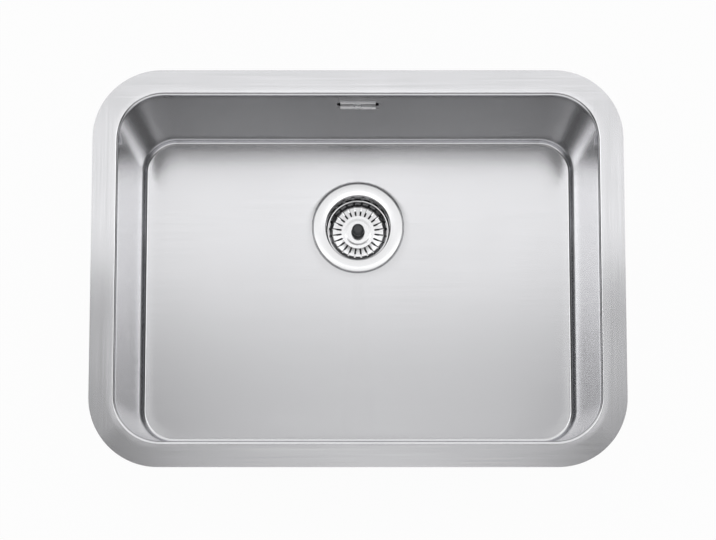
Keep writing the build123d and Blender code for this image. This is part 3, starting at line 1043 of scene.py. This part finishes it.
# ---------------------------------------------------------------- waste set
@dataclass
class Strainer:
    """The pressed strainer dish that clamps the waste in the bowl."""

    finish: Finish
    sheet: float = 1.0
    flange_level: float = -200.6
    seat_level: float = -238.0
    plate_level: float = -242.0
    dimple_level: float = -251.0
    shank_radius: float = 3.3
    dimple_radii: Span = (10.2, 10.8)
    plate_radii: Span = (20.5, 21.8)
    wall_radii: Span = (38.4, 39.0)
    edge_radii: Span = (54.2, 54.7)
    edge_drop: float = 1.2
    hole_radius: float = 4.0
    hole_circle: float = 15.9
    hole_count: int = 6
    hole_cut: Span = (-3.0, 2.0)

    def section(self) -> list[Point]:
        """Draw the dish.

        Returns:
            Its closed section.
        """
        line = rounded([
            (self.shank_radius, self.dimple_level, 0.0),
            (self.dimple_radii[0], self.dimple_level, 1.2),
            (self.dimple_radii[1], self.plate_level, 1.2),
            (self.plate_radii[0], self.plate_level, 1.6),
            (self.plate_radii[1], self.seat_level, 1.2),
            (self.wall_radii[0], self.seat_level, 6.0),
            (self.wall_radii[1], self.flange_level, 1.4),
            (self.edge_radii[0], self.flange_level, 1.3),
            (self.edge_radii[1], self.flange_level - self.edge_drop, 0.0),
        ], steps=8)
        return thickened(line, self.sheet)

    def build(self) -> None:
        """Make the dish and show it."""
        low, high = (self.plate_level + reach for reach in self.hole_cut)
        section = [(0.0, low), (self.hole_radius, low), (self.hole_radius, high), (0.0, high)]
        holes = []
        for number in range(self.hole_count):
            angle = 2 * math.pi * number / self.hole_count
            middle = WASTE + Vector((math.cos(angle), math.sin(angle), 0.0)) * self.hole_circle * MM
            holes.append(turned(section, 32, middle))
        dish = combined(turned(self.section()), [joined("holes", holes)], "DIFFERENCE")
        show("waste_dish", smoothed(dish), self.finish, Body.SINK, "strainer_dish")


@dataclass
class Basket:
    """The lift-out basket: slotted cup and mushroom knob."""

    steel: Finish
    plastic: Finish
    sheet: float = 0.8
    disc_radius: float = 14.0
    disc_level: float = -232.7
    ring_radius: float = 16.6
    ring_level: float = -232.86
    slope_radius: float = 20.0
    floor_level: float = -233.6
    floor_radius: float = 31.4
    shoulder_radius: float = 34.0
    shoulder_rise: float = 4.5
    rim_radius: float = 35.6
    rim_level: float = -220.9
    lip_radius: float = 37.2
    stem_bore: float = 2.5
    slot_count: int = 24
    slot_width: float = 2.2
    slot_start: float = 20.2
    slot_top: float = -232.2
    slot_reach: float = 18.0
    slot_margin: float = 4.0
    knob_profile: Profile = (
        (0.0, 0.0, 0.0),
        (8.3, 0.0, 0.0),
        (8.3, 1.0, 0.7),
        (5.6, 1.9, 1.2),
        (4.4, 5.5, 3.0),
        (5.2, 12.5, 4.0),
        (7.3, 15.2, 1.6),
        (7.3, 19.0, 2.2),
        (5.0, 21.0, 3.0),
        (0.0, 21.0, 0.0),
    )

    def cup_section(self) -> list[Point]:
        """Draw the cup.

        Returns:
            Its closed section.
        """
        line = rounded([
            (self.stem_bore, self.disc_level, 0.0),
            (self.disc_radius, self.disc_level, 8.0),
            (self.ring_radius, self.ring_level, 8.0),
            (self.slope_radius, self.ring_level, 5.0),
            (self.floor_radius, self.floor_level, 2.6),
            (self.shoulder_radius, self.floor_level + self.shoulder_rise, 3.0),
            (self.rim_radius, self.rim_level, 0.9),
            (self.lip_radius, self.rim_level, 0.0),
        ], steps=7)
        return thickened(line, self.sheet)

    def slotted(self, cup: bpy.types.Mesh) -> bpy.types.Mesh:
        """Cut the ring of slots.

        Args:
            cup: The plain cup.

        Returns:
            The slotted cup.
        """
        tree = GeometryTree("Slotted cup")
        count = tree.size("Slot count", self.slot_count)
        width = tree.size("Slot width", self.slot_width * MM)
        start = tree.size("Slot start radius", self.slot_start * MM)
        reach = tree.size("Slot reach", self.slot_reach * MM)
        height = tree.size("Slot height", (self.slot_top - self.floor_level + self.slot_margin) * MM)
        middle = tree.size("Slot middle level", (self.slot_top + self.floor_level - self.slot_margin) / 2 * MM)
        waste_y = tree.size("Waste centre", WASTE.y)

        rod = tree.node("GeometryNodeMeshCylinder", {"Vertices": 16, "Radius": width * 0.5, "Depth": height})
        place = tree.node("GeometryNodeInputPosition").outputs[0]
        parts = tree.node("ShaderNodeSeparateXYZ", {0: place})
        x = Field(tree, parts.outputs[0])
        stretched = x + start + width * 0.5 + reach * tree.math("GREATER_THAN", x, 0.00001)
        cutter = tree.placed(rod.outputs[0], stretched, Field(tree, parts.outputs[1]), Field(tree, parts.outputs[2]))

        line = tree.node("GeometryNodeMeshLine", {"Count": count, "Offset": (0.0, 0.0, 0.0)}).outputs[0]
        number = Field(tree, tree.node("GeometryNodeInputIndex").outputs[0])
        angle = (number + 0.5) * (2 * math.pi) / count
        turn = tree.node("ShaderNodeCombineXYZ", {2: angle}).outputs[0]
        ring = tree.node("GeometryNodeInstanceOnPoints", {"Points": line, "Instance": cutter, "Rotation": turn})
        real = tree.node("GeometryNodeRealizeInstances", {0: ring.outputs[0]}).outputs[0]
        lift = tree.node("ShaderNodeCombineXYZ", {1: waste_y, 2: middle}).outputs[0]
        moved = tree.node("GeometryNodeTransform", {"Geometry": real, "Translation": lift}).outputs[0]
        meshes = {"Mesh 1": tree.entry.outputs[0], "Mesh 2": moved}
        cut = tree.node("GeometryNodeMeshBoolean", meshes, operation="DIFFERENCE", solver="EXACT")
        return tree.grown(cut.outputs[0], self.steel.material, cup)

    def build(self) -> None:
        """Make the cup and the knob and show them."""
        cup = self.slotted(turned(self.cup_section(), 192))
        show("strainer_basket", smoothed(cup), self.steel, Body.BASKET, "basket_cup")
        knob = turned(raised(self.knob_profile, self.disc_level, 7), 64)
        show("lift_knob", smoothed(knob, 50.0), self.plastic, Body.BASKET, "basket_knob")


# ------------------------------------------------------------------ overflow
@dataclass
class OverflowCover:
    """The pressed cover over the overflow opening, with its screw."""

    steel: Finish
    screw_steel: Finish
    place: Matrix
    length: float = 40.5
    height: float = 17.0
    stand: float = 1.5
    sheet: float = 0.9
    bend: float = 0.9
    lip_length: float = 47.4
    lip_reach: float = 1.7
    dish_radius: float = 6.0
    dish_floor: float = 4.4
    dish_drop: float = 1.8
    columns: int = 80
    row_height: float = 0.4
    screw_profile: Profile = (
        (0.0, -12.0, 0.0),
        (1.2, -12.0, 0.0),
        (2.0, -10.5, 0.0),
        (2.0, 0.0, 0.0),
        (3.8, 0.0, 0.0),
        (3.8, 2.2, 1.3),
        (0.0, 2.2, 0.0),
    )
    cross_size: Point = (2.1, 0.35)
    cross_turn: float = 0.4
    cross_cut: Span = (1.0, 3.0)

    def plate(self) -> bpy.types.Mesh:
        """Press the plate with its top return and its dish.

        Returns:
            The closed sheet.
        """
        section = rounded([
            (0.0, self.height / 2, 0.0),
            (self.stand, self.height / 2, self.bend),
            (self.stand, -self.height / 2, self.bend),
            (self.stand + self.lip_reach, -self.height / 2, 0.0),
        ], steps=8)
        line: list[Point] = []
        for near, far in zip(section, section[1:]):
            pieces = max(1, round(math.dist(near, far) / self.row_height))
            line += [tuple(a + (b - a) * step / pieces for a, b in zip(near, far)) for step in range(pieces)]
        line.append(section[-1])
        work = bmesh.new()
        grid = []
        for out, up in line:
            strip = []
            for number in range(self.columns + 1):
                across = self.length * (number / self.columns - 0.5)
                deep = (self.dish_radius - math.hypot(across, up)) / (self.dish_radius - self.dish_floor)
                share = min(max(deep, 0.0), 1.0)
                eased = share * share * (3 - 2 * share)
                pushed = out - self.dish_drop * eased if abs(up) < self.dish_radius else out
                strip.append(work.verts.new(self.place @ (Vector((across, up, pushed)) * MM)))
            grid.append(strip)
        for upper, lower in zip(grid, grid[1:]):
            for number in range(self.columns):
                work.faces.new((upper[number], upper[number + 1], lower[number + 1], lower[number]))
        front = self.place @ Vector((0.0, 0.1, 0.1))
        return sheeted(facing(made("plate", work), front), self.sheet)

    def lip(self) -> bpy.types.Mesh:
        """Make the wider bar along the cover's lower edge.

        Returns:
            The closed bar.
        """
        turned_place = self.place @ Matrix.Rotation(math.pi / 2, 4, "X")
        low = self.height / 2
        outline = slot_outline(self.lip_length, self.lip_reach, 0.45 * self.lip_reach, 5)
        outline = [(x, y + self.stand + self.lip_reach / 2) for x, y in outline]
        bar = prism(outline, turned_place, low, low + self.sheet)
        return with_modifiers(bar, ("BEVEL", {"width": 0.2 * MM, "segments": 2, "limit_method": "ANGLE"}))

    def screw(self) -> bpy.types.Mesh:
        """Make the pan head screw with its cross recess.

        Returns:
            The closed screw.
        """
        base = self.stand - self.dish_drop
        head = turned(raised(self.screw_profile, base, 8), 64, Vector((0.0, 0.0, 0.0)))
        x, y = self.cross_size
        low, high = (base + level for level in self.cross_cut)
        blades = []
        for angle in (0.0, math.pi / 2):
            turn = Matrix.Rotation(angle + self.cross_turn, 4, "Z")
            blades.append(prism([(-x, -y), (x, -y), (x, y), (-x, y)], turn, low, high))
        head = combined(head, blades, "DIFFERENCE")
        head.transform(self.place)
        return head

    def build(self) -> None:
        """Make the cover and its screw and show them."""
        cover = combined(self.plate(), [self.lip()], "UNION")
        show("overflow_plate", smoothed(cover), self.steel, Body.SINK, "overflow_cover")
        show("overflow_plate_screw", smoothed(self.screw()), self.screw_steel, Body.SINK, "overflow_screw")


# -------------------------------------------------------------------- studio
@dataclass(frozen=True)
class Softbox:
    """A soft lamp over the part, with its place and size in metres."""

    name: str
    middle: Point
    size: Point
    radiance: float
    mirrored: bool = True

    def hang(self, level: float) -> None:
        """Hang the lamp face down.

        Args:
            level: Height of the lamp in metres.
        """
        data = bpy.data.lights.new(self.name, "AREA")
        data.shape = "RECTANGLE"
        data.size, data.size_y = self.size
        data.energy = self.radiance * math.pi * self.size[0] * self.size[1]
        lamp = bpy.data.objects.new(self.name, data)
        lamp.location = (*self.middle, level)
        lamp.visible_camera = False
        lamp.visible_glossy = self.mirrored
        bpy.context.scene.collection.objects.link(lamp)


@dataclass
class Studio:
    """Floor, soft lights and the camera of the photograph."""

    floor_level: float = -0.3166
    floor_reach: float = 12.0
    floor_white: float = 0.95
    camera_place: tuple[float, float, float] = (0.0, -0.383, 2.502)
    camera_tilt: float = 7.7
    lens: float = 113.5
    camera_shift: float = 0.05
    lamp_level: float = 2.55
    room_light: float = 0.7
    wall_white: float = 0.95
    side_dark: float = 0.06
    front_dark: float = 0.08
    off_centre: float = 0.010
    slant: float = 0.45
    ceiling_front: Span = (0.02, 0.060)
    ceiling_rear: Span = (0.124, 0.150)
    middle_light: Span = (1.06, 1.34)
    middle_front: Span = (0.07, 0.11)
    middle_edge: Span = (0.04, 0.12)
    middle_fade: float = 0.80
    flank_light: float = 0.6
    flank_edge: Span = (0.14, 0.22)
    side_panel: float = 1.6
    panel_inner: Span = (0.27, 0.36)
    panel_outer: Span = (0.62, 0.78)
    panel_front: Span = (-0.04, 0.04)
    panel_rear: Span = (0.30, 0.50)
    overhead: Span = (0.60, 0.66)
    softboxes: tuple[Softbox, ...] = (
        Softbox("front_softbox", (0.0, -0.56), (0.95, 0.42), 0.70),
        Softbox("near_softbox", (0.0, -0.175), (0.95, 0.35), 0.33),
        Softbox("middle_softbox", (0.0, 0.19), (1.6, 0.38), 1.0, mirrored=False),
        Softbox("main_softbox", (0.0, 0.565), (1.7, 0.37), 1.10),
        Softbox("left_softbox", (-0.62, 0.54), (0.26, 0.42), 0.26),
        Softbox("right_softbox", (0.62, 0.54), (0.26, 0.42), 0.26),
        Softbox("rear_softbox", (0.0, 1.0), (1.7, 0.50), 0.92),
    )

    def floor(self) -> None:
        """Lay a wide pale floor that shows from above and is clear from below."""
        tree = ShaderTree(bpy.data.materials.new("pale floor"))
        cloud = tree.noise((3.0, 3.0, 3.0), 2.0)
        tree.feed(tree.surface.inputs["Base Color"], tree.tint(cloud, (0.80, 0.80, 0.80), (0.84, 0.84, 0.84)))
        tree.feed(tree.surface.inputs["Roughness"], 0.9)
        rays = tree.add("ShaderNodeLightPath", {})
        either = tree.math("MAXIMUM", rays.outputs["Is Camera Ray"], rays.outputs["Is Glossy Ray"])
        seen = tree.product(either, self.floor_white)
        white = tree.add("ShaderNodeEmission", {"Color": (1.0, 1.0, 1.0, 1.0), "Strength": 1.0}).outputs[0]
        mixed = tree.add("ShaderNodeMixShader", {0: seen, 1: tree.surface.outputs[0], 2: white}).outputs[0]
        clear = tree.add("ShaderNodeBsdfTransparent", {}).outputs[0]
        below = tree.add("ShaderNodeNewGeometry", {}).outputs["Backfacing"]
        one_way = tree.add("ShaderNodeMixShader", {0: below, 1: mixed, 2: clear}).outputs[0]
        tree.links.new(one_way, tree.nodes["Material Output"].inputs["Surface"])
        work = bmesh.new()
        place = Matrix.Translation((0.0, 0.0, self.floor_level))
        bmesh.ops.create_grid(work, x_segments=8, y_segments=8, size=self.floor_reach, matrix=place)
        mesh = made("floor", work)
        mesh.materials.append(tree.owner)
        ground = bpy.data.objects.new("floor", mesh)
        bpy.context.scene.collection.objects.link(ground)

    def sky(self) -> None:
        """Light the room evenly, with the white and dark walls that the steel mirrors."""
        tree = ShaderTree(bpy.data.worlds.new("studio"))
        parts = tree.parts(tree.coordinates.outputs["Generated"])
        rays = tree.add("ShaderNodeLightPath", {}).outputs
        height = parts["Z"]
        level = tree.math("SQRT", tree.math("SUBTRACT", 1.0, tree.product(height, height)))
        rearward = tree.math("DIVIDE", parts["Y"], level)
        sides = tree.spread(height, self.wall_white, self.side_dark, 0.14, 0.34)
        rear = tree.spread(height, self.wall_white, 0.0, 0.86, 0.94)
        front = tree.spread(height, self.wall_white, self.front_dark, 0.66, 0.84)
        walls = tree.mix(tree.rising(rearward, 0.35, 0.75), sides, rear)
        walls = tree.mix(tree.falling(rearward, -0.75, -0.35), walls, front)
        light = tree.mix(rays["Is Glossy Ray"], self.room_light, tree.math("ADD", walls, self.ceiling(tree, parts)))
        tree.feed(tree.surface.inputs["Color"], (1.0, 1.0, 1.0, 1.0))
        tree.feed(tree.surface.inputs["Strength"], tree.mix(rays["Is Camera Ray"], light, 1.0))
        bpy.context.scene.world = tree.owner

    def ceiling(self, tree: ShaderTree, parts: bpy.types.bpy_prop_collection) -> Socket:
        """Lit ceiling a little behind the part, brightest in its middle, and a panel at each side.

        Args:
            tree: The world's nodes.
            parts: The direction's components.

        Returns:
            How bright the ceiling is in that direction.
        """
        behind = tree.math("DIVIDE", parts["Y"], parts["Z"])
        sideways = tree.math("SUBTRACT", tree.math("DIVIDE", parts["X"], parts["Z"]), self.off_centre)
        aside = tree.math("ABSOLUTE", sideways)
        edge = tree.math("SUBTRACT", behind, tree.product(aside, self.slant))
        starts = tree.rising(edge, *self.ceiling_front)
        ends = tree.falling(behind, *self.ceiling_rear)
        middle = tree.product(
            tree.spread(behind, *self.middle_light, *self.middle_front),
            tree.spread(aside, 1.0, self.middle_fade, *self.middle_edge),
        )
        flank = tree.spread(aside, 0.0, self.flank_light, *self.flank_edge)
        ceiling = tree.product(starts, ends, tree.math("ADD", middle, flank))
        beyond = tree.product(tree.rising(aside, *self.panel_inner), tree.falling(aside, *self.panel_outer))
        level = tree.product(tree.rising(behind, *self.panel_front), tree.falling(behind, *self.panel_rear))
        panels = tree.product(beyond, level, self.side_panel)
        return tree.product(tree.math("ADD", ceiling, panels), tree.rising(parts["Z"], *self.overhead))

    def camera(self) -> None:
        """Set up the camera."""
        data = bpy.data.cameras.new("camera")
        data.sensor_width = 36.0
        data.lens = self.lens
        data.shift_y = self.camera_shift
        camera = bpy.data.objects.new("camera", data)
        camera.location = self.camera_place
        camera.rotation_euler = (math.radians(self.camera_tilt), 0.0, 0.0)
        bpy.context.scene.collection.objects.link(camera)
        bpy.context.scene.camera = camera

    def build(self) -> None:
        """Set up the whole studio."""
        self.floor()
        self.sky()
        for softbox in self.softboxes:
            softbox.hang(self.lamp_level)
        self.camera()
        bpy.context.scene.view_settings.view_transform = "Standard"


@dataclass
class Sink:
    """The whole part: built pieces and the CAD nodes that keep their shape."""

    bowl_steel: Finish
    polished: Finish
    fastener: Finish
    brass: Finish
    knob: Finish
    clip: Finish
    body: Finish
    hose: Finish
    rubber: Finish
    pad: Finish

    def dress_nodes(self) -> None:
        """Give the CAD nodes that stay their finishes."""
        finishes = {
            "sound_pad": self.pad, "basket_stem": self.fastener, "basket_seal": self.rubber,
            "seal_washer": self.fastener, "stem_nut": self.fastener, "catch_clip": self.clip,
            "clamp_screw": self.fastener, "clamp_insert": self.brass, "flange_seal": self.rubber,
            "body_seal": self.rubber, "waste_body": self.body, "overflow_gasket": self.rubber,
            "overflow_head": self.body, "overflow_insert": self.brass, "overflow_hose": self.hose,
            "hose_nuts": self.body, "hose_washers": self.rubber,
        }
        for name, finish in finishes.items():
            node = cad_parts[name]
            for holder in node.material_slots:
                holder.material = finish.material
            log.info("%s keeps its shape", name)

    def build(self) -> None:
        """Build every sub-assembly."""
        bowl = Bowl(self.bowl_steel)
        bowl.build()
        Strainer(self.polished).build()
        Basket(self.polished, self.knob).build()
        OverflowCover(self.polished, self.fastener, bowl.wall_place()).build()
        self.dress_nodes()


def main() -> None:
    """Build the part and the studio."""
    logging.basicConfig(level=logging.INFO, format="%(message)s")
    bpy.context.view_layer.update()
    sink = Sink(
        bowl_steel=Metal(
            "satin sink steel", "bowl_steel", (0.715, 0.715, 0.732), 0.13, 0.015, Grain.ALONG,
            relief=0.0000008, tone=0.055, brushed=0.6, level_rough=0.048,
        ),
        polished=Metal("polished waste steel", "polished_steel", (0.745, 0.745, 0.755), 0.12, 0.02, Grain.ROUND),
        fastener=Metal("plain fastener steel", "fastener_steel", (0.66, 0.67, 0.68), 0.30, 0.06),
        brass=Metal("turned brass", "insert_brass", (0.76, 0.60, 0.32), 0.30, 0.06),
        knob=Moulded(
            "dark knob plastic", "knob_plastic", (0.055, 0.058, 0.062), 0.30, 0.06, 0.15, 1500.0, 0.00002, 0.2
        ),
        clip=Moulded("pale clip plastic", "clip_plastic", (0.72, 0.72, 0.70), 0.45),
        body=Moulded("moulded body plastic", "body_plastic", (0.78, 0.79, 0.79), 0.42),
        hose=Moulded("hose plastic", "hose_plastic", (0.70, 0.71, 0.715), 0.38),
        rubber=Moulded("black seal rubber", "seal_rubber", (0.02, 0.02, 0.022), 0.60),
        pad=Moulded("damping pad", "pad_rubber", (0.045, 0.045, 0.048), 0.85, 0.06, 0.2, 700.0, 0.0002),
    )
    sink.build()
    Studio().build()


if __name__ == "__main__":
    main()
